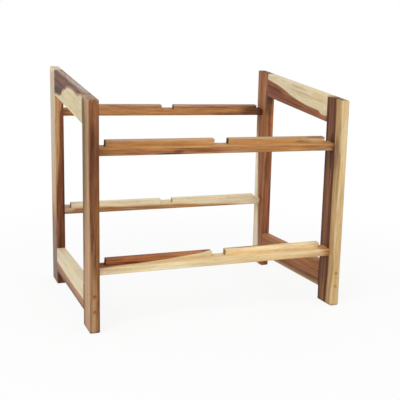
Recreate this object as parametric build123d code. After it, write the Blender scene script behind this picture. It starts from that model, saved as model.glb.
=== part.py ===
from build123d import *
import math
import os

# Two-tier wooden rack: two side frames joined by four notched cross bars.
# Row frame: X to the right, Y from front to back, Z up, origin on the floor below the middle.
# Driving dimensions, in millimetres and degrees.

# Side frames
rack_width = 440.0            # over the outer faces of both side frames
rack_depth = 315.0            # front of the front posts to back of the back posts
rack_height = 401.0           # floor to the highest corner of the back posts
tier_slope = 8.4              # fall towards the front of the top rails and of both tiers
board_thickness = 16.0        # posts and rails, across the rack
post_width = 44.5             # posts, front to back
rail_width = 44.5             # rails, square to their length
bottom_rail_lift = 24.0       # floor to the underside of the bottom rails
frame_edge_radius = 2.0       # eased edges of posts and rails

# Cross bars
lower_tier_height = 87.0      # floor to the lower front edge of the lower front bar
upper_tier_drop = 86.0        # top line of the side frames to the lower front edges of the upper bars
front_bar_setback = 13.5      # front of a front post to the lower front edge of its bars
back_bar_setback = 20.0       # front of a back post to the lower front edge of its bars
bar_depth = 22.5              # front to back, along the slope
bar_base_height = 11.5        # underside to ledge
lip_height = 9.0              # ledge to the top of the raised lip
lip_thickness = 10.5          # lip, front to back
lip_end_gap = 14.5            # side frame to the nearest lip end
lip_centre_gap = 24.0         # notch between the two lips of a bar
bar_edge_radius = 1.2         # eased long edges of the bars
lip_end_radius = 1.2          # eased ends of the lips

# Dowel joints
blind_dowel_diameter = 6.0
through_dowel_diameter = 6.0
rail_dowel_edge = 10.3        # edge of a rail to the centre of its nearest dowel
top_dowel_seat = 20.0         # blind dowel, depth in the post and in the top rail
through_dowel_seat = 28.0     # depth in the bottom rail of a dowel that passes through its post
bar_dowel_post_seat = 9.0     # blind dowel, depth in the post
bar_dowel_bar_seat = 20.0     # blind dowel, depth in the end of the bar
dowel_chamfer = 0.8           # eased ends of the blind dowels
dowel_clearance = 0.1         # glue space round a dowel
dowel_end_space = 0.8         # glue space past the end of a blind dowel

# Values that follow from the driving dimensions
slope = math.radians(tier_slope)
front_y = -rack_depth / 2
back_y = rack_depth / 2
front_joint_y = front_y + post_width
back_joint_y = back_y - post_width
inner_x = rack_width / 2 - board_thickness
frame_x = rack_width / 2 - board_thickness / 2
rail_dowel_reach = rail_width / 2 - rail_dowel_edge

TOUCH = 1e-6                  # distance below which two places are the same
SIDES = {"left": -1, "right": 1}
TIERS = ("lower", "upper")
POST_FRONTS = {"front": front_y, "back": back_joint_y}
BAR_FRONTS = {"front": front_y + front_bar_setback, "back": back_joint_y + back_bar_setback}
JOINTS = {"front": (front_joint_y, -1), "back": (back_joint_y, 1)}


def slope_rise(run):
    """Height gained on the slope over a level distance towards the back."""
    return run * math.tan(slope)


def top_z(y):
    """Height of the sloping top line of a side frame."""
    return rack_height - slope_rise(back_y - y)


def board(side, corners):
    """Flat board of a side frame, from the corners of its outline in the YZ plane."""
    outline = make_face(Polyline(*corners, close=True))
    plane = Plane.YZ.offset(SIDES[side] * frame_x)
    return extrude(plane * outline, board_thickness / 2, both=True)


def post(side, end):
    """Upright with its top cut on the slope and all its edges eased."""
    y0 = POST_FRONTS[end]
    y1 = y0 + post_width
    blank = board(side, [(y0, 0), (y1, 0), (y1, top_z(y1)), (y0, top_z(y0))])
    return fillet(blank.edges(), frame_edge_radius)


def eased_rail(blank):
    """Rail with its four long edges eased and its ends left square for the joints."""
    long_edges = blank.edges().filter_by(lambda edge: abs(edge.tangent_at(0.5).Y) > 0.5)
    return fillet(long_edges, frame_edge_radius)


def top_rail(side):
    """Sloping rail between the tops of the posts."""
    drop = rail_width / math.cos(slope)
    z0 = top_z(front_joint_y)
    z1 = top_z(back_joint_y)
    corners = [(front_joint_y, z0 - drop), (back_joint_y, z1 - drop), (back_joint_y, z1), (front_joint_y, z0)]
    return eased_rail(board(side, corners))


def bottom_rail(side):
    """Level rail between the posts, a little above the floor."""
    z0 = bottom_rail_lift
    z1 = bottom_rail_lift + rail_width
    corners = [(front_joint_y, z0), (back_joint_y, z0), (back_joint_y, z1), (front_joint_y, z1)]
    return eased_rail(board(side, corners))


def tier_z(tier, y):
    """Height of the sloping line that the lower front edges of a tier's bars lie on."""
    if tier == "upper":
        return top_z(y) - upper_tier_drop
    return lower_tier_height + slope_rise(y - BAR_FRONTS["front"])


def bar_plane(tier, end):
    """Section plane at the middle of a bar: local X runs up the slope, local Y square to it."""
    y = BAR_FRONTS[end]
    z = tier_z(tier, y)
    return Plane(origin=(0, y, z), x_dir=(0, math.cos(slope), math.sin(slope)), z_dir=(1, 0, 0))


def bar_section(end):
    """L-shaped section whose lip stands on the side that faces the middle of the rack."""
    top = bar_base_height + lip_height
    ledge = bar_depth - lip_thickness
    corners = [(0, 0), (bar_depth, 0), (bar_depth, top), (ledge, top), (ledge, bar_base_height), (0, bar_base_height)]
    if end == "back":
        corners = [(bar_depth - u, n) for u, n in corners]
    section = make_face(Polyline(*corners, close=True))
    inner_corner = section.vertices().sort_by_distance(corners[4])[0]
    outer_corners = [corner for corner in section.vertices() if corner != inner_corner]
    return fillet(outer_corners, bar_edge_radius)


def lip_gaps():
    """Stretches along X without a lip: one at each end of a bar and one in the middle."""
    lip_outer = inner_x - lip_end_gap
    lip_inner = lip_centre_gap / 2
    return [(-inner_x, -lip_outer), (-lip_inner, lip_inner), (lip_outer, inner_x)]


def lip_ends(stick, plane):
    """Edges round the end faces of the lips, apart from those at the foot of a lip."""
    ends = [abs(x) for gap in lip_gaps() for x in gap if abs(x) < inner_x]

    def at_lip_end(edge):
        """Whether an edge lies in the plane of a lip's end, above the ledge."""
        first, middle, last = [plane.to_local_coords(edge @ t) for t in (0, 0.5, 1)]
        across = abs(first.Z - last.Z) < TOUCH and abs(first.Z - middle.Z) < TOUCH
        return across and middle.Y > bar_base_height + TOUCH and any(abs(abs(middle.Z) - x) < TOUCH for x in ends)

    return stick.edges().filter_by(at_lip_end)


def bar(tier, end):
    """Cross bar between the side frames, with its lip cut away in three places."""
    plane = bar_plane(tier, end)
    stick = extrude(plane * bar_section(end), inner_x, both=True)
    for x0, x1 in lip_gaps():
        gap = Box(x1 - x0, bar_depth, lip_height, align=(Align.MIN, Align.MIN, Align.MIN))
        seat = Plane(origin=plane.from_local_coords((0, bar_base_height, x0)), x_dir=(1, 0, 0), z_dir=plane.y_dir)
        stick -= seat * gap
    return fillet(lip_ends(stick, plane), lip_end_radius)


def rod(start, direction, length, diameter):
    """Round rod from a start point along a direction."""
    return Solid.make_cylinder(diameter / 2, length, Plane(origin=start, z_dir=direction))


def dowel(start, direction, length, blind):
    """Dowel and the hole that takes it: a blind one at both ends, or one that starts flush with a face."""
    diameter = blind_dowel_diameter if blind else through_dowel_diameter
    pin = rod(start, direction, length, diameter)
    rims = pin.edges().filter_by(GeomType.CIRCLE).sort_by(lambda rim: (rim.center() - Vector(start)).length)
    eased = rims if blind else rims[-1:]
    start_space = dowel_end_space if blind else 0
    mouth = Vector(start) - Vector(direction) * start_space
    hole = rod(mouth, direction, start_space + length + dowel_end_space, diameter + 2 * dowel_clearance)
    return chamfer(eased, dowel_chamfer), hole


def top_rail_dowels(side, end):
    """Blind dowels, one above the other, across the joint of a top rail and a post."""
    y, outward = JOINTS[end]
    middle = top_z(y) - rail_width / math.cos(slope) / 2
    start_y = y + outward * top_dowel_seat
    starts = [(SIDES[side] * frame_x, start_y, middle + step * rail_dowel_reach) for step in (-1, 1)]
    return [dowel(start, (0, -outward, 0), 2 * top_dowel_seat, True) for start in starts]


def bottom_rail_dowels(side, end):
    """Dowels driven through a post into the end of a bottom rail, flush with the face of the post."""
    y, outward = JOINTS[end]
    middle = bottom_rail_lift + rail_width / 2
    start_y = y + outward * post_width
    starts = [(SIDES[side] * frame_x, start_y, middle + step * rail_dowel_reach) for step in (-1, 1)]
    return [dowel(start, (0, -outward, 0), post_width + through_dowel_seat, False) for start in starts]


def bar_dowels(tier, end, side):
    """Blind dowels, side by side at the quarter points of a bar, from a post into the bar's end."""
    plane = bar_plane(tier, end)
    start_x = SIDES[side] * (inner_x + bar_dowel_post_seat)
    spots = [bar_depth / 4, bar_depth * 3 / 4]
    starts = [plane.from_local_coords((spot, bar_base_height / 2, start_x)) for spot in spots]
    length = bar_dowel_post_seat + bar_dowel_bar_seat
    return [dowel(start, (-SIDES[side], 0, 0), length, True) for start in starts]


def build():
    """All pieces by node name, each a list of solids, with every dowel hole cut."""
    wood = {}
    dowels = {}

    def join(name, pairs, members):
        """Keep the dowels of a joint under one name and drill its members."""
        dowels[name] = [pin for pin, hole in pairs]
        for member in members:
            for pin, hole in pairs:
                wood[member] -= hole

    for side in SIDES:
        for end in JOINTS:
            wood[f"{side}_{end}_post"] = post(side, end)
        wood[f"{side}_top_rail"] = top_rail(side)
        wood[f"{side}_bottom_rail"] = bottom_rail(side)
    for tier in TIERS:
        for end in JOINTS:
            wood[f"{tier}_{end}_bar"] = bar(tier, end)

    for side in SIDES:
        for end in JOINTS:
            upright = f"{side}_{end}_post"
            join(f"{side}_{end}_top_dowels", top_rail_dowels(side, end), [upright, f"{side}_top_rail"])
            join(f"{side}_{end}_bottom_dowels", bottom_rail_dowels(side, end), [upright, f"{side}_bottom_rail"])
            for tier in TIERS:
                stick = f"{tier}_{end}_bar"
                join(f"{stick}_{side}_dowels", bar_dowels(tier, end, side), [upright, stick])

    pieces = {name: list(part.solids()) for name, part in wood.items()}
    pieces.update({name: [pin.solids()[0] for pin in pins] for name, pins in dowels.items()})
    return pieces


def main():
    """Write one file per node."""
    os.makedirs("parts", exist_ok=True)
    for name, solids in build().items():
        shape = solids[0] if len(solids) == 1 else Compound(solids)
        export_step(shape, f"parts/{name}.step")


if __name__ == "__main__":
    main()
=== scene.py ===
"""Looks of a two-tier wooden rack: the figure of every board, the studio and the camera."""

import logging
import math
from dataclasses import dataclass
from enum import Enum
from typing import Mapping, Sequence, Union

import bpy
import numpy as np
from mathutils import Matrix, Vector


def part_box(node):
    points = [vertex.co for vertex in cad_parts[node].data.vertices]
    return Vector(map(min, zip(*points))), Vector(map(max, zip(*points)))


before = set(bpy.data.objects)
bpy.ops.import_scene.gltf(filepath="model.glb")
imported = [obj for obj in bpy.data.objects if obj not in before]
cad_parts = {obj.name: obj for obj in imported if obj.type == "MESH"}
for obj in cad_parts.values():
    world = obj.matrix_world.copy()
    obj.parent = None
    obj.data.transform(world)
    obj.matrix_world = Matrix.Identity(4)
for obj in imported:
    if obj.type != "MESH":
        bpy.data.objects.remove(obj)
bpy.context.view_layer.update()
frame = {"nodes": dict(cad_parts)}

LOG = logging.getLogger("wood_rack")
MM = 0.001                     # a millimetre, in metres
TO_MM = (1 / MM,) * 3          # turns a vector in metres into millimetres
SLOPE = math.radians(8.4)      # fall of the top rails and of both tiers
BAR_HALF = (11.2, 10.2)        # half the depth and half the height of a bar's section, in millimetres
MEAN = 0.5                     # mean of a noise and of every grain value
SPAN = (0.3, 0.7)              # range that a noise mostly keeps to
GRAIN = ("Rings", "Streaks", "Fibre", "Pores", "Cloud", "Warmth")
ZERO = (0.0, 0.0, 0.0)
ONE = (1.0, 1.0, 1.0)
WHITE = (1.0, 1.0, 1.0, 1.0)

Socket = bpy.types.NodeSocket
Spot = tuple[float, float, float]
Value = Union[float, Socket]
Triple = Union[Spot, Socket]


class Run(Enum):
    """Which way the fibres of a board run in the rack."""

    UPRIGHT = "upright"
    LEVEL_SIDE = "level side"
    SLOPED_SIDE = "sloped side"
    ACROSS = "across"


class Tone(Enum):
    """Named wood colours, as sRGB hex, from pale to dark."""

    LEMON = "#fae0b0"
    PEACH = "#fadcb4"
    IVORY = "#f0deba"
    PALE_CREAM = "#e8d6ba"
    CREAM = "#dccca8"
    STRAW = "#e4c898"
    BRIGHT_TAN = "#dabe90"
    BUFF = "#cfbf99"
    OAT = "#cdb78c"
    ROSE_CREAM = "#c5b7a0"
    WHEAT = "#c5a470"
    SAND_ROSE = "#c0a288"
    ROSE_GREY = "#b7a191"
    GOLDEN = "#ca985f"
    TAN = "#b8976a"
    DUSK_ROSE = "#a99586"
    ORANGE_TAN = "#bc8e60"
    PINK_TAN = "#b78e6a"
    KHAKI = "#af8e5f"
    GINGER = "#bd8552"
    HONEY = "#b78049"
    CARAMEL = "#b08258"
    CLAY = "#aa815d"
    DUN = "#a5835a"
    FLAME = "#b4703c"
    AMBER = "#a87145"
    FAWN = "#98724f"
    COPPER = "#a4643b"
    STRIP_BROWN = "#946a4c"
    RUSSET = "#955f3a"
    TAUPE = "#80664f"
    RED_BROWN = "#8c5a3c"
    ASH_BROWN = "#786154"
    CHESTNUT = "#835434"
    CINNAMON = "#844b31"
    BARK = "#7a4c24"
    BRICK = "#784632"
    MOSS = "#684d2b"
    DARK_PLUM = "#6b442d"
    PLUM = "#60443a"
    MAHOGANY = "#6e3c29"
    UMBER = "#643a20"
    MULBERRY = "#5c3b30"
    WALNUT = "#553325"
    ESPRESSO = "#402313"

    def linear(self) -> tuple[float, float, float, float]:
        """The tone as a linear RGBA colour."""
        parts = [int(self.value[i:i + 2], 16) / 255 for i in (1, 3, 5)]
        return tuple(p / 12.92 if p <= 0.04045 else ((p + 0.055) / 1.055) ** 2.4 for p in parts) + (1.0,)


@dataclass(frozen=True)
class Lumps:
    """One cloudy noise in the wood.

    size is that of its lumps along u, v and w in millimetres, shift moves it to another part of the same
    noise, detail counts its octaves and roughness is the strength of the finer ones.
    """

    size: Spot
    shift: float = 0.0
    detail: float = 2.0
    roughness: float = 0.5


@dataclass(frozen=True)
class Streak:
    """A lengthways patch of another tone inside a board, as an ellipsoid in board millimetres."""

    centre: Spot
    radii: Spot
    tone: Tone
    strength: float


@dataclass(frozen=True)
class Figure:
    """How one board was cut from its log.

    The board's own axes are u along the fibres, v across the width and w through the thickness. The depth
    into the heartwood, in millimetres, is v and w times their slopes plus the contour's height at that u,
    and bands gives the tone at each depth. The streaks lie over each other in their order. wobble is about
    how far the bands wander, in millimetres, contrast is the strength of the grain, end_shade is that of the
    end grain, and seed gives the board noises of its own.
    """

    node: str
    run: Run
    bands: tuple[tuple[float, Tone], ...]
    seed: float
    contour: tuple[tuple[float, float], ...] = ((0.0, 0.0),)
    slope_v: float = 0.0
    slope_w: float = 0.0
    streaks: tuple[Streak, ...] = ()
    wobble: float = 1.6
    contrast: float = 1.0
    end_shade: float = 0.55


class Graph:
    """A shader node tree with short ways to add and join its nodes."""

    def __init__(self, tree: bpy.types.NodeTree) -> None:
        """Wraps an empty node tree."""
        self.tree = tree

    @classmethod
    def fresh(cls, owner: Union[bpy.types.Material, bpy.types.World]) -> "Graph":
        """Starts the nodes of a material or of the world from nothing.

        Args:
            owner: the material or the world.

        Returns:
            Its empty graph.
        """
        owner.use_nodes = True
        owner.node_tree.nodes.clear()
        return cls(owner.node_tree)

    def node(self, kind: str, **settings: object) -> bpy.types.Node:
        """Adds one node.

        Args:
            kind: Blender's node type name.
            settings: attributes to set on it.

        Returns:
            The new node.
        """
        made = self.tree.nodes.new(kind)
        for name, value in settings.items():
            setattr(made, name, value)
        return made

    def feed(self, socket: Socket, value: object) -> None:
        """Links a socket into an input, or sets the input to a plain value.

        Args:
            socket: the input.
            value: another node's output, or a plain value.
        """
        if isinstance(value, Socket):
            self.tree.links.new(value, socket)
        else:
            socket.default_value = value

    def split(self, vector: Triple) -> Sequence[Socket]:
        """The sockets of a vector's three numbers."""
        apart = self.node("ShaderNodeSeparateXYZ")
        self.feed(apart.inputs[0], vector)
        return apart.outputs[:]

    def math(self, operation: str, a: Value, b: Value = 0.0, c: Value = 0.0, clamp: bool = False) -> Socket:
        """One arithmetic step.

        Args:
            operation: the Math node's operation.
            a: first operand.
            b: second operand.
            c: third operand, where the operation has one.
            clamp: keeps the result from 0 to 1.

        Returns:
            The result's socket.
        """
        step = self.node("ShaderNodeMath", operation=operation, use_clamp=clamp)
        for socket, value in zip(step.inputs, (a, b, c)):
            self.feed(socket, value)
        return step.outputs[0]

    def vector(self, operation: str, a: Triple, b: Triple = ZERO, c: Triple = ZERO) -> Socket:
        """One vector step.

        Args:
            operation: the Vector Math node's operation.
            a: first operand.
            b: second operand.
            c: third operand, where the operation has one.

        Returns:
            The vector, or the number for a dot product or a length.
        """
        step = self.node("ShaderNodeVectorMath", operation=operation)
        for socket, value in zip(step.inputs, (a, b, c)):
            self.feed(socket, value)
        return step.outputs["Value" if operation in ("DOT_PRODUCT", "LENGTH") else "Vector"]

    def swing(self, value: Socket) -> Socket:
        """How far a noise or a grain value lies from its mean."""
        return self.math("SUBTRACT", value, MEAN)

    def weigh(self, values: Mapping[str, Socket], shares: Mapping[str, float], start: Value = 0.0,
              swing: bool = False) -> Socket:
        """Adds up named values times their shares.

        Args:
            values: the values by name.
            shares: the share of each one that counts.
            start: what they are added to.
            swing: counts each value from its mean.

        Returns:
            The sum's socket.
        """
        total = start
        for name, share in shares.items():
            value = self.swing(values[name]) if swing else values[name]
            total = self.math("MULTIPLY_ADD", value, share, total)
        return total

    def remap(self, value: Value, low: float, high: float, to_low: float = 0.0, to_high: float = 1.0,
              smooth: bool = False) -> Socket:
        """Maps one range of numbers on to another, clamped.

        Args:
            value: the number to map.
            low: start of its range.
            high: end of its range.
            to_low: what the start becomes.
            to_high: what the end becomes.
            smooth: eases both ends.

        Returns:
            The mapped number's socket.
        """
        kind = "SMOOTHSTEP" if smooth else "LINEAR"
        step = self.node("ShaderNodeMapRange", interpolation_type=kind, clamp=True)
        for socket, number in zip(step.inputs, (value, low, high, to_low, to_high)):
            self.feed(socket, number)
        return step.outputs["Result"]

    def noise(self, place: Triple, lumps: Lumps, seed: Value) -> Socket:
        """Cloudy noise.

        Args:
            place: where it is read, in board millimetres.
            lumps: the size and kind of its lumps.
            seed: differs from board to board.

        Returns:
            A number from 0 to 1.
        """
        scaled = self.vector("MULTIPLY", place, tuple(1.0 / size for size in lumps.size))
        moved = self.math("ADD", seed, lumps.shift) if lumps.shift else seed
        cloud = self.node("ShaderNodeTexNoise", noise_dimensions="4D")
        for name, value in (("Vector", scaled), ("W", moved), ("Scale", 1.0), ("Detail", lumps.detail),
                            ("Roughness", lumps.roughness)):
            self.feed(cloud.inputs[name], value)
        return cloud.outputs["Fac"]

    def blend(self, share: Value, a: object, b: object, way: str = "MIX") -> Socket:
        """Mixes two colours.

        Args:
            share: how much of b.
            a: the colour below.
            b: the colour above.
            way: the Mix node's blend type.

        Returns:
            The mixed colour's socket.
        """
        step = self.node("ShaderNodeMix", data_type="RGBA", blend_type=way, clamp_factor=True)
        for number, value in ((0, share), (6, a), (7, b)):  # the places of the factor and the two colours
            self.feed(step.inputs[number], value)
        return step.outputs[2]

    def use(self, group: bpy.types.NodeTree, **values: object) -> bpy.types.Node:
        """Places a node group.

        Args:
            group: the group to place.
            values: its inputs, with _ for a space in a name.

        Returns:
            The group's node.
        """
        placed = self.node("ShaderNodeGroup", node_tree=group)
        for name, value in values.items():
            self.feed(placed.inputs[name.replace("_", " ")], value)
        return placed

    def seen(self) -> Socket:
        """Marks what is seen, straight, in a reflection or through glass.

        Returns:
            1 for such a ray, 0 for one that only carries light.
        """
        path = self.node("ShaderNodeLightPath")
        rays = self.math("ADD", path.outputs["Is Camera Ray"], path.outputs["Is Glossy Ray"], clamp=True)
        return self.math("ADD", rays, path.outputs["Is Transmission Ray"], clamp=True)

    def end_with_mix(self, output: str, share: Value, a: Socket, b: Socket) -> None:
        """Ends the graph with a mix of two shaders.

        Args:
            output: type name of the output node.
            share: how much of b.
            a: first shader.
            b: second shader.
        """
        both = self.node("ShaderNodeMixShader")
        for socket, value in zip(both.inputs, (share, a, b)):
            self.feed(socket, value)
        self.feed(self.node(output).inputs["Surface"], both.outputs[0])


@dataclass(frozen=True)
class OilFinish:
    """Satin oil on planed wood: its gloss and the depth of its pores, in metres."""

    roughness: float = 0.52
    specular: float = 0.16
    coat: float = 0.03
    coat_roughness: float = 0.30
    relief: float = 0.00016
    relief_strength: float = 0.6

    def shade(self, graph: Graph, surface: bpy.types.Node) -> None:
        """Ends a material with its shader.

        Args:
            graph: the material's graph.
            surface: a node with Color, Roughness and Height outputs.
        """
        shader = graph.node("ShaderNodeBsdfPrincipled")
        graph.feed(shader.inputs["Base Color"], surface.outputs["Color"])
        graph.feed(shader.inputs["Roughness"], surface.outputs["Roughness"])
        shader.inputs["Specular IOR Level"].default_value = self.specular
        shader.inputs["Coat Weight"].default_value = self.coat
        shader.inputs["Coat Roughness"].default_value = self.coat_roughness
        bump = graph.node("ShaderNodeBump")
        bump.inputs["Strength"].default_value = self.relief_strength
        bump.inputs["Distance"].default_value = self.relief
        graph.feed(bump.inputs["Height"], surface.outputs["Height"])
        graph.feed(shader.inputs["Normal"], bump.outputs[0])
        graph.feed(graph.node("ShaderNodeOutputMaterial").inputs["Surface"], shader.outputs[0])


@dataclass(frozen=True)
class FloorPaint:
    """White matt paint that keeps a soft shadow below the rack and reads as white further off.

    Plain white has a share of near_white up to near and of 1 from far on, in metres from the middle.
    """

    grey: float = 0.86
    near: float = 0.3
    far: float = 0.95
    near_white: float = 0.87

    def material(self) -> bpy.types.Material:
        """Makes the paint.

        Returns:
            The material.
        """
        made = bpy.data.materials.new("white_floor")
        graph = Graph.fresh(made)
        matt = graph.node("ShaderNodeBsdfDiffuse")
        matt.inputs["Color"].default_value = (self.grey, self.grey, self.grey, 1.0)
        white = graph.node("ShaderNodeEmission")
        away = graph.vector("LENGTH", graph.node("ShaderNodeTexCoord").outputs["Object"])
        rise = graph.remap(away, self.near, self.far, self.near_white, 1.0, smooth=True)
        share = graph.math("MULTIPLY", graph.seen(), rise)
        graph.end_with_mix("ShaderNodeOutputMaterial", share, matt.outputs[0], white.outputs[0])
        return made


class Timber:
    """The wood effects that every board shares, each a node group that its own method builds once."""

    # Heartwood: how its edge wanders along the fibres
    SLOW = Lumps((70, 16, 16))
    FINE = Lumps((26, 2.2, 2.2), 7.3)
    FINE_SHARE = 0.45
    WANDER_GAIN = 2.0

    # Growth rings: the pith's place in v and w and the bend are in millimetres, tilt is v per millimetre of u
    # and rate is rings per millimetre
    PITH_V = 60.0
    PITH_W = 45.0
    RING_TILT = 0.035
    RING_WARP = Lumps((110, 20, 20), 3.1)
    RING_BEND = 9.0
    RING_RATE = 0.26
    RING_DETAIL = 2.5
    RING_ROUGHNESS = 0.6

    # Fibres: how far they sway in u, v and w, in millimetres, the noises that sway with them, then two broad ones
    DRIFT = Lumps((85, 30, 30), 5.6, 1.0)
    SWAY = (0.0, 9.0, 6.0)
    STREAKS = Lumps((165, 6, 6), 0.0, 3.0, 0.6)
    FIBRE = Lumps((46, 2.4, 2.4), 11.7, 3.0, 0.7)
    PORES = Lumps((10, 1.1, 1.1), 19.2, 2.0, 0.7)
    PORE_RIM = (0.57, 0.72)
    CLOUD = Lumps((90, 22, 22), 29.4)
    WARMTH = Lumps((70, 9, 9), 37.8)

    # Masks: the rim of a streak in radii, eased edges in millimetres, end grain as a cosine
    STREAK_RIM = (0.45, 1.05)
    STREAK_FRAY = Lumps((40, 3, 3), 0.0, 3.0, 0.6)
    STREAK_FRAY_REACH = 0.9
    # eased edges: the rim of their mask, then the ragged fray of the painted shade that darkens them
    EDGE_RIM = (0.3, 2.4)
    EDGE_SHADE_FRAY = Lumps((9, 9, 9), 0.0, 3.0, 0.6)
    EDGE_SHADE_FRAY_REACH = 1.6
    END_FACING = (0.55, 0.9)

    # Surface: two luminances with the strength of the lines at each, then the shares of the grain values and
    # what they do to red, green and blue
    DARK_TO_PALE = (0.06, 0.45, 1.9, 0.36)
    LINES = {"Rings": 0.44, "Streaks": 0.80, "Fibre": 0.62}
    CLOUDS = {"Cloud": 0.24}
    DARKEST = -0.75
    LINE_TINT = (0.62, 0.82, 1.0)
    WARM_TINT = (0.05, -0.02, -0.22)
    PORE_TINT = (0.42, 0.33, 0.28, 1.0)
    PORE_SHARE = 0.6
    END_TINT = (0.18, 0.14, 0.10, 1.0)
    # painted shade: the eased edges are darkened towards this grey-brown, by this share
    EDGE_SHADE_TINT = (0.70, 0.64, 0.60, 1.0)
    EDGE_SHADE_SHARE = 0.25
    ROUGHER = {"Fibre": 0.10, "Pores": 0.16, "End": 0.10, "Edge": -0.05}
    HIGHER = {"Rings": 0.25, "Fibre": 0.35, "Pores": -0.9}

    def __init__(self) -> None:
        """Builds all the groups."""
        self.heart = self._heart_depth()
        self.grain = self._grain()
        self.streak = self._streak()
        self.edges = self._edges()
        self.ends = self._ends()
        self.surface = self._surface()

    @staticmethod
    def _open(name: str, inputs: Mapping[str, str], outputs: Mapping[str, str]) -> tuple[Graph, dict, dict]:
        """Starts a group.

        Args:
            name: the group's name.
            inputs: the kind of each input by its name.
            outputs: the kind of each output by its name.

        Returns:
            The graph, its input sockets by name and its output sockets by name.
        """
        tree = bpy.data.node_groups.new(name, "ShaderNodeTree")
        for side, sockets in (("INPUT", inputs), ("OUTPUT", outputs)):
            for label, kind in sockets.items():
                tree.interface.new_socket(label, in_out=side, socket_type="NodeSocket" + kind)
        graph = Graph(tree)
        given = graph.node("NodeGroupInput").outputs
        taken = graph.node("NodeGroupOutput").inputs
        return graph, {s.name: s for s in given if s.name}, {s.name: s for s in taken if s.name}

    def _heart_depth(self) -> bpy.types.NodeTree:
        """Depth into the heartwood: slopes times v and w, plus the contour, plus a wander along the fibres."""
        graph, given, taken = self._open(
            "heart_depth",
            {"Board": "Vector", "Contour": "Float", "Slope V": "Float", "Slope W": "Float", "Wobble": "Float",
             "Seed": "Float"},
            {"Depth": "Float"})
        board, seed = given["Board"], given["Seed"]
        _, v, w = graph.split(board)
        plane = graph.math("MULTIPLY_ADD", v, given["Slope V"], given["Contour"])
        plane = graph.math("MULTIPLY_ADD", w, given["Slope W"], plane)
        slow = graph.swing(graph.noise(board, self.SLOW, seed))
        fine = graph.swing(graph.noise(board, self.FINE, seed))
        wander = graph.math("MULTIPLY_ADD", fine, self.FINE_SHARE, slow)
        wander = graph.math("MULTIPLY", wander, graph.math("MULTIPLY", given["Wobble"], self.WANDER_GAIN))
        graph.feed(taken["Depth"], graph.math("ADD", plane, wander))
        return graph.tree

    def _grain(self) -> bpy.types.NodeTree:
        """Growth rings about a distant pith, broad streaks, fine fibres and short pores, all along u.

        A ring's number is the distance from the pith line, bent by slow noise; its tone is one-dimensional
        noise of that number, so neighbouring rings differ in width and strength. Streaks, fibres and pores
        sway together in v and w as they run; cloud and warmth are broad noises that don't.
        """
        graph, given, taken = self._open(
            "board_grain", {"Board": "Vector", "Seed": "Float"}, {name: "Float" for name in GRAIN})
        board, seed = given["Board"], given["Seed"]
        u, v, w = graph.split(board)
        off_v = graph.math("SUBTRACT", graph.math("MULTIPLY_ADD", u, self.RING_TILT, v), self.PITH_V)
        off_w = graph.math("SUBTRACT", w, self.PITH_W)
        squares = graph.math("MULTIPLY_ADD", off_v, off_v, graph.math("MULTIPLY", off_w, off_w))
        warp = graph.noise(board, self.RING_WARP, seed)
        ring = graph.math("MULTIPLY_ADD", warp, self.RING_BEND, graph.math("SQRT", squares))
        count = graph.node("ShaderNodeTexNoise", noise_dimensions="1D")
        for name, value in (("W", graph.math("MULTIPLY_ADD", ring, self.RING_RATE, seed)), ("Scale", 1.0),
                            ("Detail", self.RING_DETAIL), ("Roughness", self.RING_ROUGHNESS)):
            graph.feed(count.inputs[name], value)
        graph.feed(taken["Rings"], graph.remap(count.outputs["Fac"], *SPAN))
        drift = graph.swing(graph.noise(board, self.DRIFT, seed))
        along = graph.vector("ADD", board, graph.vector("MULTIPLY", drift, self.SWAY))
        for name, place, lumps in (("Streaks", along, self.STREAKS), ("Fibre", along, self.FIBRE),
                                   ("Cloud", board, self.CLOUD), ("Warmth", board, self.WARMTH)):
            graph.feed(taken[name], graph.remap(graph.noise(place, lumps, seed), *SPAN))
        pores = graph.noise(along, self.PORES, seed)
        graph.feed(taken["Pores"], graph.remap(pores, *self.PORE_RIM, smooth=True))
        return graph.tree

    def _streak(self) -> bpy.types.NodeTree:
        """Mask of an ellipsoid with a ragged rim: 1 at its heart, 0 just past a distance of one radius."""
        graph, given, taken = self._open(
            "heart_streak",
            {"Board": "Vector", "Centre": "Vector", "Radii": "Vector", "Seed": "Float"},
            {"Mask": "Float"})
        board = given["Board"]
        reach = graph.vector("DIVIDE", graph.vector("SUBTRACT", board, given["Centre"]), given["Radii"])
        fray = graph.swing(graph.noise(board, self.STREAK_FRAY, given["Seed"]))
        distance = graph.math("MULTIPLY_ADD", fray, self.STREAK_FRAY_REACH, graph.vector("LENGTH", reach))
        graph.feed(taken["Mask"], graph.remap(distance, *self.STREAK_RIM, 1.0, 0.0, smooth=True))
        return graph.tree

    def _edges(self) -> bpy.types.NodeTree:
        """Mask of a block's edges: the middle one of the distances to its faces is the distance to an edge."""
        graph, given, taken = self._open(
            "eased_edges", {"Board": "Vector", "Half": "Vector", "Seed": "Float"}, {"Mask": "Float"})
        board = given["Board"]
        inside = graph.split(graph.vector("SUBTRACT", given["Half"], graph.vector("ABSOLUTE", board)))
        a, b, c = (graph.math("ABSOLUTE", distance) for distance in inside)
        lesser, greater = graph.math("MINIMUM", a, b), graph.math("MAXIMUM", a, b)
        middle = graph.math("MAXIMUM", lesser, graph.math("MINIMUM", greater, c))
        # frays the rim of the edges, where painted shade darkens them
        shade_fray = graph.swing(graph.noise(board, self.EDGE_SHADE_FRAY, given["Seed"]))
        middle = graph.math("MULTIPLY_ADD", shade_fray, self.EDGE_SHADE_FRAY_REACH, middle)
        graph.feed(taken["Mask"], graph.remap(middle, *self.EDGE_RIM, 1.0, 0.0, smooth=True))
        return graph.tree

    def _ends(self) -> bpy.types.NodeTree:
        """Mask of end grain: how far the surface faces along the fibres."""
        graph, given, taken = self._open(
            "end_grain", {"Normal": "Vector", "Fibre Axis": "Vector"}, {"Mask": "Float"})
        along = graph.math("ABSOLUTE", graph.vector("DOT_PRODUCT", given["Normal"], given["Fibre Axis"]))
        graph.feed(taken["Mask"], graph.remap(along, *self.END_FACING, smooth=True))
        return graph.tree

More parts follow.
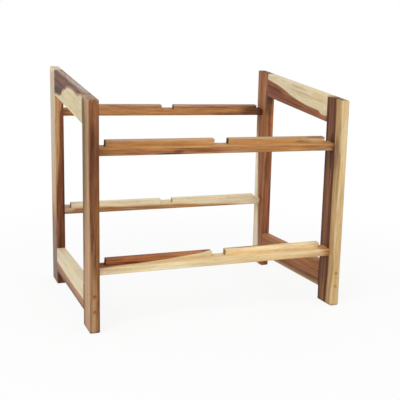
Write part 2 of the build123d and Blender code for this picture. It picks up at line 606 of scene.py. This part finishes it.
    def _surface(self) -> bpy.types.NodeTree:
        """Lays the grain on a board's tone.

        Each grain value swings about its mean, so the tone stays the mean. The sum of the swings, stronger
        in dark wood than in pale, scales the colour, blue most and red least; warmth turns it between rose
        and yellow. Pores and end grain darken it, and painted shade darkens the eased edges.
        """
        graph, given, taken = self._open(
            "oiled_surface",
            {"Tone": "Color", "Contrast": "Float", **{name: "Float" for name in GRAIN}, "Edge": "Float",
             "End": "Float", "Gloss": "Float"},
            {"Color": "Color", "Roughness": "Float", "Height": "Float"})
        light = graph.node("ShaderNodeRGBToBW")
        graph.feed(light.inputs[0], given["Tone"])
        figured = graph.remap(light.outputs[0], *self.DARK_TO_PALE)
        lines = graph.weigh(given, self.LINES, swing=True)
        swing = graph.math("MULTIPLY_ADD", lines, figured, graph.weigh(given, self.CLOUDS, swing=True))
        swing = graph.math("MAXIMUM", graph.math("MULTIPLY", swing, given["Contrast"]), self.DARKEST)
        lined = graph.vector("MULTIPLY_ADD", swing, self.LINE_TINT, ONE)
        turned = graph.vector("MULTIPLY_ADD", graph.swing(given["Warmth"]), self.WARM_TINT, ONE)
        lined = graph.vector("MULTIPLY", graph.vector("MULTIPLY", given["Tone"], lined), turned)
        pore_share = graph.math("MULTIPLY", given["Pores"], self.PORE_SHARE)
        pored = graph.blend(pore_share, lined, self.PORE_TINT, "MULTIPLY")
        ended = graph.blend(given["End"], pored, self.END_TINT, "MULTIPLY")
        edge_shade_share = graph.math("MULTIPLY", given["Edge"], self.EDGE_SHADE_SHARE)
        graph.feed(taken["Color"], graph.blend(edge_shade_share, ended, self.EDGE_SHADE_TINT, "MULTIPLY"))
        graph.feed(taken["Roughness"], graph.weigh(given, self.ROUGHER, given["Gloss"]))
        graph.feed(taken["Height"], graph.weigh(given, self.HIGHER))
        return graph.tree


@dataclass(frozen=True)
class BoardFrame:
    """A board's own axes in the rack: its middle, the ways of u, v and w, and half its sizes, in millimetres."""

    middle: Vector
    axes: Matrix
    half: Spot

    @classmethod
    def of(cls, node: str, run: Run) -> "BoardFrame":
        """Finds a board's axes from its box and the way its fibres run.

        w points to the left of the rack on the side boards and up on the cross bars.

        Args:
            node: the board's CAD node.
            run: the way its fibres run.

        Returns:
            Its axes.
        """
        low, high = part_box(node)
        middle = (low + high) / 2 / MM
        size = (high - low) / 2 / MM
        c, s = math.cos(SLOPE), math.sin(SLOPE)
        if run is Run.UPRIGHT:
            axes = Matrix(((0, 0, 1), (0, 1, 0), (-1, 0, 0)))
            half = (size.z, size.y, size.x)
        elif run is Run.LEVEL_SIDE:
            axes = Matrix(((0, -1, 0), (0, 0, 1), (-1, 0, 0)))
            half = (size.y, size.z, size.x)
        elif run is Run.SLOPED_SIDE:
            axes = Matrix(((0, -c, -s), (0, -s, c), (-1, 0, 0)))
            half = (size.y / c, (size.z - size.y * s / c) * c, size.x)
        else:
            axes = Matrix(((1, 0, 0), (0, c, s), (0, -s, c)))
            half = (size.x, *BAR_HALF)
        return cls(middle, axes, half)

    def read(self, graph: Graph, spot: Socket) -> Socket:
        """Turns a place in the rack into a place in the board.

        Args:
            graph: the material's graph.
            spot: Object coordinates, in metres.

        Returns:
            u, v and w as a vector, in millimetres from the board's middle.
        """
        mapping = graph.node("ShaderNodeMapping", vector_type="POINT")
        graph.feed(mapping.inputs["Vector"], spot)
        mapping.inputs["Scale"].default_value = TO_MM
        mapping.inputs["Rotation"].default_value = self.axes.to_euler("XYZ")
        mapping.inputs["Location"].default_value = -(self.axes @ self.middle)
        return mapping.outputs[0]


@dataclass(frozen=True)
class BoardMaker:
    """Turns a board's figure into its material."""

    timber: Timber
    finish: OilFinish

    @staticmethod
    def _contour(graph: Graph, figure: Figure, board: Socket, reach: float) -> Value:
        """The heartwood's edge along the board.

        Args:
            graph: the material's graph.
            figure: the board's figure.
            board: the place in the board.
            reach: half the board's length.

        Returns:
            The contour's height at u, in millimetres.
        """
        if len(figure.contour) == 1:
            return figure.contour[0][1]
        heights = [height for _, height in figure.contour]
        low, high = min(heights), max(heights)
        curve = graph.node("ShaderNodeFloatCurve")
        points = curve.mapping.curves[0].points
        spots = [((u + reach) / (2 * reach), (height - low) / (high - low)) for u, height in figure.contour]
        points[0].location, points[1].location = spots[0], spots[-1]
        for spot in spots[1:-1]:
            points.new(*spot)
        curve.mapping.update()
        graph.feed(curve.inputs["Value"], graph.remap(graph.split(board)[0], -reach, reach))
        return graph.math("MULTIPLY_ADD", curve.outputs[0], high - low, low)

    @staticmethod
    def _bands(graph: Graph, figure: Figure, depth: Socket) -> Socket:
        """The tone at each depth.

        Args:
            graph: the material's graph.
            figure: the board's figure.
            depth: depth into the heartwood.

        Returns:
            The tone's colour socket.
        """
        low, high = figure.bands[0][0], figure.bands[-1][0]
        ramp = graph.node("ShaderNodeValToRGB")
        stops = ramp.color_ramp.elements
        while len(stops) < len(figure.bands):
            stops.new(0.5)  # moved below
        for stop, (at, tone) in zip(stops, figure.bands):
            stop.position = (at - low) / (high - low)
            stop.color = tone.linear()
        graph.feed(ramp.inputs[0], graph.remap(depth, low, high))
        return ramp.outputs[0]

    def _tone(self, graph: Graph, figure: Figure, board: Socket, reach: float) -> Socket:
        """The board's colour before its grain: the bands with the streaks over them.

        Args:
            graph: the material's graph.
            figure: the board's figure.
            board: the place in the board.
            reach: half the board's length.

        Returns:
            The tone's colour socket.
        """
        contour = self._contour(graph, figure, board, reach)
        heart = graph.use(self.timber.heart, Board=board, Contour=contour, Slope_V=figure.slope_v,
                          Slope_W=figure.slope_w, Wobble=figure.wobble, Seed=figure.seed)
        tone = self._bands(graph, figure, heart.outputs["Depth"])
        for number, streak in enumerate(figure.streaks):
            patch = graph.use(self.timber.streak, Board=board, Centre=streak.centre, Radii=streak.radii,
                              Seed=figure.seed + number)
            share = graph.math("MULTIPLY", patch.outputs["Mask"], streak.strength)
            tone = graph.blend(share, tone, streak.tone.linear())
        return tone

    def surface(self, graph: Graph, board: Socket, seed: float, **values: Value) -> None:
        """Lays the grain on a tone and ends the material.

        Args:
            graph: the material's graph.
            board: the place in the board.
            seed: the board's seed.
            values: the tone, contrast, edges and ends for the surface group.
        """
        grain = graph.use(self.timber.grain, Board=board, Seed=seed)
        lines = {name: grain.outputs[name] for name in GRAIN}
        self.finish.shade(graph, graph.use(self.timber.surface, Gloss=self.finish.roughness, **lines, **values))

    def material(self, figure: Figure) -> bpy.types.Material:
        """Makes one board's material.

        Args:
            figure: how the board was cut.

        Returns:
            The material.
        """
        place = BoardFrame.of(figure.node, figure.run)
        made = bpy.data.materials.new("oiled_" + figure.node)
        graph = Graph.fresh(made)
        where = graph.node("ShaderNodeTexCoord")
        board = place.read(graph, where.outputs["Object"])
        tone = self._tone(graph, figure, board, place.half[0])
        ends = graph.use(self.timber.ends, Normal=where.outputs["Normal"], Fibre_Axis=tuple(place.axes[0]))
        edges = graph.use(self.timber.edges, Board=board, Half=place.half, Seed=figure.seed)
        end = graph.math("MULTIPLY", ends.outputs["Mask"], figure.end_shade)
        self.surface(graph, board, figure.seed, Tone=tone, Contrast=figure.contrast, End=end,
                     Edge=edges.outputs["Mask"])
        return made


@dataclass
class WoodWork:
    """A sub-assembly of CAD pieces that only need their finish."""

    nodes: dict[str, bpy.types.Object]
    maker: BoardMaker

    def dress(self, material: bpy.types.Material, *names: str) -> None:
        """Puts a material on CAD nodes.

        Args:
            material: what they get.
            names: which nodes.
        """
        for name in names:
            mesh = self.nodes[name].data
            mesh.materials.clear()
            mesh.materials.append(material)
            LOG.info("%s dressed with %s", name, material.name)


@dataclass
class BoardWork(WoodWork):
    """A sub-assembly of boards, each with a figure of its own."""

    def figures(self) -> list[Figure]:
        """How its boards were cut."""
        raise NotImplementedError

    def build(self) -> None:
        """Gives each of its boards a material."""
        for figure in self.figures():
            self.dress(self.maker.material(figure), figure.node)


@dataclass
class LeftFrame(BoardWork):
    """The left side frame: brown posts with paler faces, and sapwood rails with dark flames."""

    def figures(self) -> list[Figure]:
        """How its four boards were cut."""
        back_post = Figure(
            node="left_back_post", run=Run.UPRIGHT, slope_w=-1, seed=1.7, wobble=0.8, end_shade=0.25,
            contour=((-200, 7.6), (-52, 6.4), (-13, 4.9), (15, 3.3), (33, 1.4), (51, 0.2), (69, -0.5), (105, -1.2),
                     (132, -4.3), (141, -6), (200, -9)),
            bands=((-12, Tone.ORANGE_TAN), (-1.6, Tone.ORANGE_TAN), (0.4, Tone.CHESTNUT), (2, Tone.BRICK),
                   (6, Tone.UMBER), (14, Tone.UMBER)),
            streaks=(
                # painted light: the outer face is paler where light from the left and its sheen fall on it
                Streak((110, 3, 9.1), (240, 70, 2.3), Tone.ROSE_CREAM, 0.95),
                Streak((-150, 6, 9.1), (125, 70, 2.6), Tone.ASH_BROWN, 1),
                # painted sheen: a paler, greyer top end where light glances off the end grain, helped by the low
                # end_shade
                Streak((201, 0, 0), (12, 60, 24), Tone.PALE_CREAM, 0.9),
            ))
        top_rail = Figure(
            node="left_top_rail", run=Run.SLOPED_SIDE, slope_v=1, seed=4.2, wobble=1, contrast=1.3,
            contour=((-118, 19.8), (-101, 16.4), (-56, 10.2), (-42, 1.8), (-16, -7.4), (10, -14.2), (44.8, -16.6),
                     (71.7, -14.4), (107.3, -19.8), (118, -21)),
            bands=((-6, Tone.BUFF), (-2.8, Tone.BUFF), (-0.8, Tone.DUN), (1.2, Tone.TAUPE), (3.4, Tone.MULBERRY),
                   (14, Tone.MULBERRY)),
            streaks=(
                Streak((0, 23.2, -2), (220, 2.6, 11), Tone.DUSK_ROSE, 0.9),
                Streak((-20, 22.6, 6.6), (150, 2.4, 2.4), Tone.PLUM, 0.8),
                Streak((-105, 17, 9), (22, 6, 5), Tone.ASH_BROWN, 0.5),
                Streak((-52, 15, 9), (40, 7, 5), Tone.BRICK, 0.55),
                Streak((10, 18, 9), (60, 5, 5), Tone.BRICK, 0.5),
            ))
        bottom_rail = Figure(
            node="left_bottom_rail", run=Run.LEVEL_SIDE, slope_v=-1, seed=8.8, wobble=1, contrast=0.75,
            contour=((-116, -3), (-68, -4.6), (-16, -6.6), (35, -7), (82, -6.7), (117, -6.2)),
            bands=((-10, Tone.CREAM), (-2.8, Tone.CREAM), (-0.6, Tone.CLAY), (1.6, Tone.STRIP_BROWN),
                   (9, Tone.STRIP_BROWN), (14, Tone.PLUM)))
        front_post = Figure(
            node="left_front_post", run=Run.UPRIGHT, slope_v=0.08, slope_w=-2, seed=12.3, wobble=0.8, end_shade=0.2,
            contour=((-181, 14.9), (-70, 14.95), (0, 15.5), (40, 15.9), (181, 15.95)),
            bands=((-2.4, Tone.CLAY), (-0.6, Tone.CLAY), (0.3, Tone.MOSS), (1.6, Tone.MOSS), (2.4, Tone.UMBER),
                   (8, Tone.UMBER), (14, Tone.CHESTNUT), (26, Tone.BARK), (31, Tone.BARK)),
            streaks=(
                Streak((85, -22, 0), (78, 14, 12), Tone.UMBER, 0.8),
                Streak((165, -23, -1), (48, 14, 11), Tone.CHESTNUT, 0.85),
                Streak((-165, -22, 5.5), (140, 14, 12.5), Tone.FAWN, 0.95),
                Streak((-110, -14, 9.8), (190, 36, 3), Tone.PINK_TAN, 0.9),
                Streak((172, -16, 9.8), (42, 32, 3), Tone.PINK_TAN, 0.9),
                # darker towards the foot
                Streak((-181, -10, 0), (5, 60, 30), Tone.WALNUT, 0.6),
                # painted sheen: a paler, greyer top end where light glances off the end grain, helped by the low
                # end_shade
                Streak((185, 0, 0), (14, 90, 40), Tone.SAND_ROSE, 0.68),
            ))
        return [back_post, top_rail, bottom_rail, front_post]


@dataclass
class RightFrame(BoardWork):
    """The right side frame: heartwood boards with pale sapwood along one edge."""

    def figures(self) -> list[Figure]:
        """How its four boards were cut."""
        front_post = Figure(
            node="right_front_post", run=Run.UPRIGHT, slope_v=1, slope_w=0.5, seed=15.1, wobble=0.8,
            contour=((-180, 1.2), (-150, 2.4), (-134, 4), (-110, 5.2), (-79, 4.3), (-38, 4.5), (40, 5), (73, 5.8),
                     (104, 3.8), (143, 3.4), (180, 0.8)),
            bands=((-24, Tone.BRIGHT_TAN), (-14.8, Tone.BRIGHT_TAN), (-13.5, Tone.KHAKI), (-1.6, Tone.KHAKI),
                   (0.2, Tone.CHESTNUT), (1.8, Tone.ESPRESSO), (6.5, Tone.DARK_PLUM), (14, Tone.CHESTNUT),
                   (21, Tone.DARK_PLUM), (27, Tone.WALNUT)),
            streaks=(
                Streak((-110, -22, -2), (190, 16, 11), Tone.WHEAT, 0.85),
                Streak((60, -22, 7), (140, 6, 3), Tone.KHAKI, 0.8),
                Streak((82, -16, 8.5), (34, 7, 4), Tone.TAUPE, 0.7),
                # painted shade: a dark patch on the inner face where the upper front bar meets the post
                Streak((108, 0, 9), (16, 9, 4), Tone.ESPRESSO, 0.75),
                Streak((78, 0, 9), (32, 9, 4), Tone.ESPRESSO, 0.75),
                Streak((155, 2, 9), (46, 16, 4), Tone.WALNUT, 0.4),
                # darker towards the foot
                Streak((-181, 10, 0), (5, 60, 30), Tone.WALNUT, 0.6),
            ))
        back_post = Figure(
            node="right_back_post", run=Run.UPRIGHT, slope_v=-1, seed=18.6, wobble=1.2,
            contour=((-200, -9), (-150, -4.3), (-56, 2.9), (38, 10.5), (80, 19), (120, 22.5), (200, 24)),
            bands=((-6, Tone.PALE_CREAM), (-1.6, Tone.ROSE_CREAM), (-0.2, Tone.TAN), (1.8, Tone.RUSSET),
                   (14, Tone.RUSSET), (24, Tone.RED_BROWN), (38, Tone.RUSSET)),
            streaks=(
                Streak((-160, -22, -6), (293, 10, 21), Tone.CINNAMON, 0.85),
                Streak((142, -21, 6.5), (30, 5, 5.5), Tone.WALNUT, 0.85),
                Streak((124, -22, 0), (18, 8, 14), Tone.UMBER, 0.5),
                # painted shadow under the right top rail on the post's front face, over darker grain
                Streak((144, -22, -1), (13, 8, 11), Tone.WALNUT, 0.9),
                Streak((10, -23, 1), (55, 6, 7.5), Tone.UMBER, 0.85),
                Streak((95, -23, -6), (75, 5, 5.5), Tone.FLAME, 0.5),
                Streak((125, 23, 6), (95, 6, 7), Tone.TAUPE, 0.8),
                Streak((150, 0, 9.5), (60, 40, 2.5), Tone.ORANGE_TAN, 0.15),
            ))
        top_rail = Figure(
            node="right_top_rail", run=Run.SLOPED_SIDE, slope_v=-1, seed=22.4, wobble=1.2, contrast=0.8,
            contour=((-118, 11), (-113.6, 10.6), (-62.6, 5.8), (-19.8, -1.6), (20.3, -6.9), (57.9, -9.3),
                     (86.2, -9.7), (97.7, -14), (118, -12)),
            bands=((-22, Tone.CREAM), (-2, Tone.CREAM), (-0.6, Tone.TAN), (0.5, Tone.CHESTNUT), (1.6, Tone.RUSSET),
                   (5, Tone.RED_BROWN), (14, Tone.BRICK), (22, Tone.BRICK)),
            streaks=(
                Streak((20, 8, 7), (70, 5, 6), Tone.OAT, 0.7),
                Streak((70, 20, 7), (70, 5, 5), Tone.STRAW, 0.7),
                Streak((10, 17.5, 7.5), (42, 2.6, 5), Tone.TAN, 0.7),
                Streak((-90, -4, 8), (55, 9, 7), Tone.MAHOGANY, 1),
                Streak((85, 14, 8), (36, 9, 5), Tone.OAT, 0.5),
            ))
        bottom_rail = Figure(
            node="right_bottom_rail", run=Run.LEVEL_SIDE, slope_v=-1, seed=25.9, wobble=1.5, contrast=0.8,
            bands=((-22, Tone.AMBER), (-10, Tone.RUSSET), (1, Tone.RUSSET), (9, Tone.RED_BROWN), (11.2, Tone.UMBER),
                   (12.8, Tone.RED_BROWN), (16, Tone.FAWN), (20.5, Tone.TAN)))
        return [front_post, back_post, top_rail, bottom_rail]


@dataclass
class CrossBars(BoardWork):
    """The four notched bars that carry the two tiers."""

    def figures(self) -> list[Figure]:
        """How the four bars were cut."""
        upper_front = Figure(
            node="upper_front_bar", run=Run.ACROSS, slope_w=1, seed=31.5, contrast=0.9, end_shade=1,
            bands=((-10, Tone.AMBER), (0, Tone.AMBER), (2, Tone.GOLDEN), (10, Tone.GOLDEN)),
            streaks=(
                Streak((-75, -11, -5.4), (12, 10, 2.9), Tone.MAHOGANY, 0.8),
                Streak((-36, -11, -2.5), (32, 10, 3), Tone.RUSSET, 0.2),
                Streak((110, -10, -4), (120, 9, 6), Tone.HONEY, 0.8),
                Streak((150, 1, 3.8), (20, 6, 2.8), Tone.MOSS, 0.55),
                Streak((75, -12, -9.5), (130, 8, 5), Tone.GOLDEN, 0.8),
                Streak((165, -11, -2.5), (34, 8, 3), Tone.CHESTNUT, 0.7),
                Streak((178, -11, -6), (15, 9, 7), Tone.FAWN, 0.7),
                Streak((200, -11, -3), (16, 9, 5), Tone.UMBER, 0.5),
                Streak((193, -8, -9.5), (16, 9, 4.8), Tone.SAND_ROSE, 0.85),
                # painted shadow where the bar's right end meets the post
                Streak((207, -10, -6), (11, 12, 9), Tone.UMBER, 0.85),
                Streak((-110, 4, 6), (115, 12, 8), Tone.HONEY, 0.45),
                Streak((0, 3, 11.4), (420, 16, 4.2), Tone.DUSK_ROSE, 0.45),
                Streak((172, 1, 10.6), (24, 9, 2.6), Tone.MOSS, 0.5),
                Streak((0, -10, -11.6), (420, 14, 3.6), Tone.DUSK_ROSE, 0.4),
                Streak((-86, -11, -9.7), (33, 10, 3.2), Tone.ESPRESSO, 0.9),
                # painted highlight along the front edge of the ledge
                Streak((105, -5, 1.8), (150, 10, 2.2), Tone.GOLDEN, 0.85),
                Streak((174, 4, 4.8), (34, 9, 4.6), Tone.STRAW, 0.5),
                # darker towards the right post: painted shade at the joint over darker, stained wood
                Streak((215, -6, 2), (20, 24, 10), Tone.UMBER, 0.85),
            ))
        upper_back = Figure(
            node="upper_back_bar", run=Run.ACROSS, slope_w=1, seed=35.2, contrast=1.2, end_shade=0.8,
            bands=((-10, Tone.GINGER), (0, Tone.GINGER), (10, Tone.GINGER)),
            streaks=(
                Streak((0, -10, -11.6), (420, 14, 3.4), Tone.DUSK_ROSE, 0.35),
                Streak((190, 0, 0), (56, 30, 30), Tone.UMBER, 0.95),
                Streak((70, 0, 0), (90, 30, 30), Tone.AMBER, 0.7),
                Streak((-50, -10, 5), (90, 9, 5), Tone.RUSSET, 0.35),
                Streak((0, -8, 11.4), (420, 16, 4.2), Tone.ROSE_GREY, 0.6),
                Streak((165, -11, -8), (75, 14, 8), Tone.UMBER, 0.6),
                Streak((208, 0, 0), (21, 30, 30), Tone.ESPRESSO, 0.9),
            ))
        lower_front = Figure(
            node="lower_front_bar", run=Run.ACROSS, slope_v=0.15, slope_w=1, seed=38.8, wobble=0.6, contrast=1.5,
            end_shade=0.85,
            contour=((-205, 0), (-179, -0.4), (-129, -1.2), (-98, -3.2), (-78, -5), (-57, -6.9), (-36, -9.2),
                     (-12, -11.6), (205, -20)),
            bands=((-12, Tone.STRAW), (-0.7, Tone.STRAW), (0.2, Tone.CHESTNUT), (1.5, Tone.COPPER),
                   (12, Tone.COPPER)),
            streaks=(
                Streak((-120, -10, -8), (150, 9, 9), Tone.CREAM, 0.65),
                Streak((150, -12, -9.5), (150, 8, 6.5), Tone.GOLDEN, 0.55),
                Streak((105, 4, 8), (130, 10, 9), Tone.LEMON, 1),
                Streak((50, 10.5, 10.4), (80, 5, 3), Tone.CHESTNUT, 0.85),
                # darker, more orange right end: painted shade at the right post over darker end wood
                Streak((208, -4, 0), (26, 24, 16), Tone.GINGER, 0.9),
                # painted light: lightens the left end against the shade beside the left front post
                Streak((-205, -12, -6), (17, 9, 9), Tone.PEACH, 0.95),
                Streak((-80, 2, 9), (30, 8, 4), Tone.CHESTNUT, 0.45),
            ))
        lower_back = Figure(
            node="lower_back_bar", run=Run.ACROSS, slope_w=-1, seed=42.3, wobble=1, end_shade=0.6,
            contour=((-205, -0.4), (-176, -0.9), (-135, -0.2), (-115, -0.6), (-98, -1.9), (-75, -2.5), (-50, -1.8),
                     (-29, -1.9), (-10, -2.6), (10, -2.3), (31, -2.9), (56, -4.3), (75, -6), (99, -6.8),
                     (205, -14)),
            bands=((-12, Tone.IVORY), (-5.5, Tone.IVORY), (-3, Tone.STRAW), (-0.5, Tone.GINGER),
                   (1.4, Tone.CARAMEL), (12, Tone.CARAMEL)),
            # painted light: lightens the left end against the shade beside the left back post
            streaks=(Streak((-204, -4, -1), (28, 16, 9), Tone.PEACH, 0.9),))
        return [upper_front, upper_back, lower_front, lower_back]


@dataclass
class Joinery(WoodWork):
    """The dowels: two flush ends show on each post, the rest is glued inside the joints.

    The tone turns over the heights in rows from a pair's lower dowel to its upper one, and over the places
    in halves from the left frame to the right, in millimetres.
    """

    rows: tuple[float, float] = (42.0, 50.0)
    halves: tuple[float, float] = (-10.0, 10.0)
    seed: float = 51.0
    end_shade: float = 0.22

    def build(self) -> None:
        """Gives all dowels one end-grain material."""
        made = bpy.data.materials.new("oiled_dowels")
        graph = Graph.fresh(made)
        where = graph.node("ShaderNodeTexCoord")
        board = graph.vector("MULTIPLY", where.outputs["Object"], TO_MM)
        x, _, z = graph.split(board)
        left = graph.blend(graph.remap(z, *self.rows), Tone.AMBER.linear(), Tone.RUSSET.linear())
        tone = graph.blend(graph.remap(x, *self.halves), left, Tone.TAN.linear())
        self.maker.surface(graph, board, self.seed, Tone=tone, Contrast=1.0, Edge=0.0, End=self.end_shade)
        self.dress(made, *sorted(name for name in self.nodes if name.endswith("_dowels")))


@dataclass(frozen=True)
class Lamp:
    """A soft square lamp: its place and side in metres, and its power in watts."""

    name: str
    place: Spot
    size: float
    power: float


@dataclass
class Studio:
    """White floor, soft lights and the camera, in metres and degrees."""

    paint: FloorPaint = FloorPaint()
    floor_reach: float = 4.0
    floor_cells: int = 8
    sky_strength: float = 0.70
    lamps: tuple[Lamp, ...] = (Lamp("key", (-1.8, -1.3, 1.8), 1.6, 31.0),
                               Lamp("fill", (1.6, -1.2, 1.2), 1.6, 6.0))
    aim: Spot = (0.0, 0.0, 0.2)
    lens: float = 63.809
    sensor: float = 36.0
    eye: Spot = (-0.448085, -1.169961, 0.401246)
    yaw: float = 21.7448
    pitch: float = 10.4752
    roll: float = -1.2236

    def floor(self) -> None:
        """Makes the floor, a flat grid: x and y run evenly over the reach and z is 0 everywhere."""
        row = self.floor_cells + 1
        side = np.linspace(-self.floor_reach, self.floor_reach, row)
        x, y = np.meshgrid(side, side)
        points = np.stack([x, y, np.zeros_like(x)], axis=-1).reshape(-1, 3)
        cell = np.arange(self.floor_cells)
        corner = (cell[:, None] * row + cell[None, :]).ravel()
        faces = np.stack([corner, corner + 1, corner + row + 1, corner + row], axis=-1)
        mesh = bpy.data.meshes.new("floor")
        mesh.from_pydata(points.tolist(), [], faces.tolist())
        mesh.materials.append(self.paint.material())
        ground = bpy.data.objects.new("floor", mesh)
        bpy.context.scene.collection.objects.link(ground)

    def sky(self) -> None:
        """Sets the world: soft even light, white where the camera or a reflection sees it."""
        world = bpy.data.worlds.new("studio")
        bpy.context.scene.world = world
        graph = Graph.fresh(world)
        shades = []
        for strength in (self.sky_strength, 1.0):
            shade = graph.node("ShaderNodeBackground")
            shade.inputs["Color"].default_value = WHITE
            shade.inputs["Strength"].default_value = strength
            shades.append(shade.outputs[0])
        graph.end_with_mix("ShaderNodeOutputWorld", graph.seen(), *shades)

    def light(self, lamp: Lamp) -> None:
        """Sets up a lamp that faces the middle of the rack.

        Args:
            lamp: which lamp.
        """
        bulb = bpy.data.lights.new(lamp.name, "AREA")
        bulb.energy, bulb.size = lamp.power, lamp.size
        stand = bpy.data.objects.new(lamp.name, bulb)
        stand.location = lamp.place
        ray = Vector(self.aim) - Vector(lamp.place)
        stand.rotation_euler = ray.to_track_quat("-Z", "Y").to_euler()
        bpy.context.scene.collection.objects.link(stand)

    def camera(self) -> None:
        """Makes the camera at the photograph's angle, from its yaw, pitch and roll."""
        yaw, pitch, roll = (math.radians(angle) for angle in (self.yaw, self.pitch, self.roll))
        ahead = Vector((math.sin(yaw) * math.cos(pitch), math.cos(yaw) * math.cos(pitch), -math.sin(pitch)))
        level = Vector((math.cos(yaw), -math.sin(yaw), 0.0))
        down = ahead.cross(level)
        right = math.cos(roll) * level + math.sin(roll) * down
        up = math.sin(roll) * level - math.cos(roll) * down
        view = bpy.data.cameras.new("camera")
        view.lens, view.sensor_width, view.sensor_fit = self.lens, self.sensor, "HORIZONTAL"
        tripod = bpy.data.objects.new("camera", view)
        turn = Matrix((right, up, -ahead)).transposed().to_4x4()
        tripod.matrix_world = Matrix.Translation(self.eye) @ turn
        bpy.context.scene.collection.objects.link(tripod)
        bpy.context.scene.camera = tripod

    def build(self) -> None:
        """Sets the whole stage."""
        self.floor()
        self.sky()
        for lamp in self.lamps:
            self.light(lamp)
        self.camera()
        bpy.context.scene.view_settings.view_transform = "Standard"
        LOG.info("studio set")


def main() -> None:
    """Builds the studio, then dresses every sub-assembly in turn."""
    logging.basicConfig(level=logging.INFO, format="%(message)s")
    nodes = frame["nodes"]
    Studio().build()
    maker = BoardMaker(Timber(), OilFinish())
    for part in (LeftFrame(nodes, maker), RightFrame(nodes, maker), CrossBars(nodes, maker), Joinery(nodes, maker)):
        part.build()
        LOG.info("%s done", type(part).__name__)


if __name__ == "__main__":
    main()
